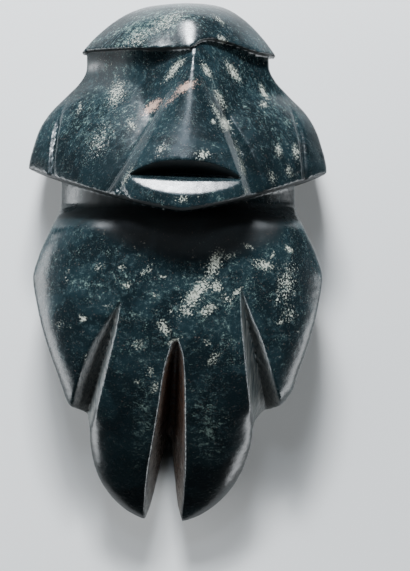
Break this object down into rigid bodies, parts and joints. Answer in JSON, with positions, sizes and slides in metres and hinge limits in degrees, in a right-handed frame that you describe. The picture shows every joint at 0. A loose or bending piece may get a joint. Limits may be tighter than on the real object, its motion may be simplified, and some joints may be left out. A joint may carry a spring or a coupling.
{
  "type": "stone figure axe",
  "caption": "Polished greenstone axe carved as a standing figure lying face up, with domed brow, wedge muzzle, open mouth, and arms and legs set off by long V grooves.",
  "frame": {"origin": "the centre of the flat back it lies on: bottom centre of the bounding box", "axes": "+Y from the leg tips to the crown, +Z out of the face, +X to the left of a person looking out of it"},
  "size_m": [0.1132, 0.2002, 0.0582],
  "materials": {
    "stone": null
  },
  "bodies": {
    "root": {"axe_figure": "stone"}
  },
  "joints": []
}
